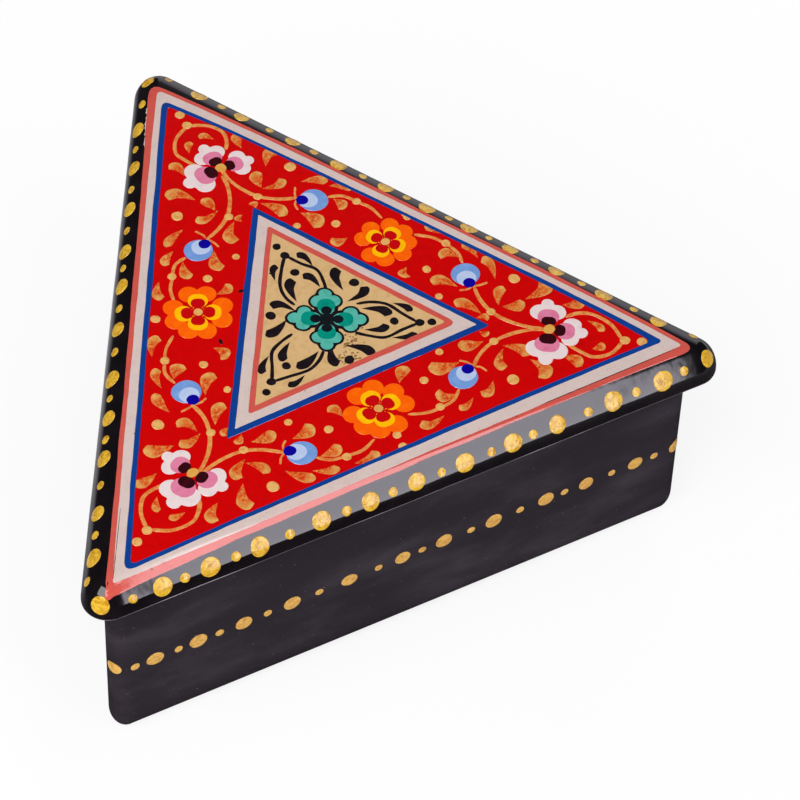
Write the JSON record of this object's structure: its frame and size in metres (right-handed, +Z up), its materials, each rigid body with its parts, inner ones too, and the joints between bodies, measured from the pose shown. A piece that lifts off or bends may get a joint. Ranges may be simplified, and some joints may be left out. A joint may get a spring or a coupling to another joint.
{
  "type": "papier mache box",
  "caption": "Triangular papier-mache keepsake box with a lift-off lid, hand-painted with flowers, vines and gold dots.",
  "frame": {"origin": "centre of the triangle on the surface that the box stands on", "axes": "+Z up through the lid, -Y out of the front wall, +Y towards the opposite corner, +X to the right of the front wall"},
  "size_m": [0.1042, 0.0913, 0.0392],
  "materials": {
    "black_lacquer": "satin",
    "painted_lid": "gloss",
    "lid_underside": "satin"
  },
  "bodies": {
    "box": {"base_panel": "black_lacquer", "front_wall": "black_lacquer", "right_wall": "black_lacquer", "left_wall": "black_lacquer"},
    "lid": {"lid_panel": "painted_lid", "lid_locating_strip_front": "lid_underside", "lid_locating_strip_right": "lid_underside", "lid_locating_strip_left": "lid_underside"}
  },
  "joints": [
    {"name": "lid_lift", "type": "slide", "parent": "box", "child": "lid", "axis": [0, 0, 1], "range_m": [0, 0.06]}
  ]
}
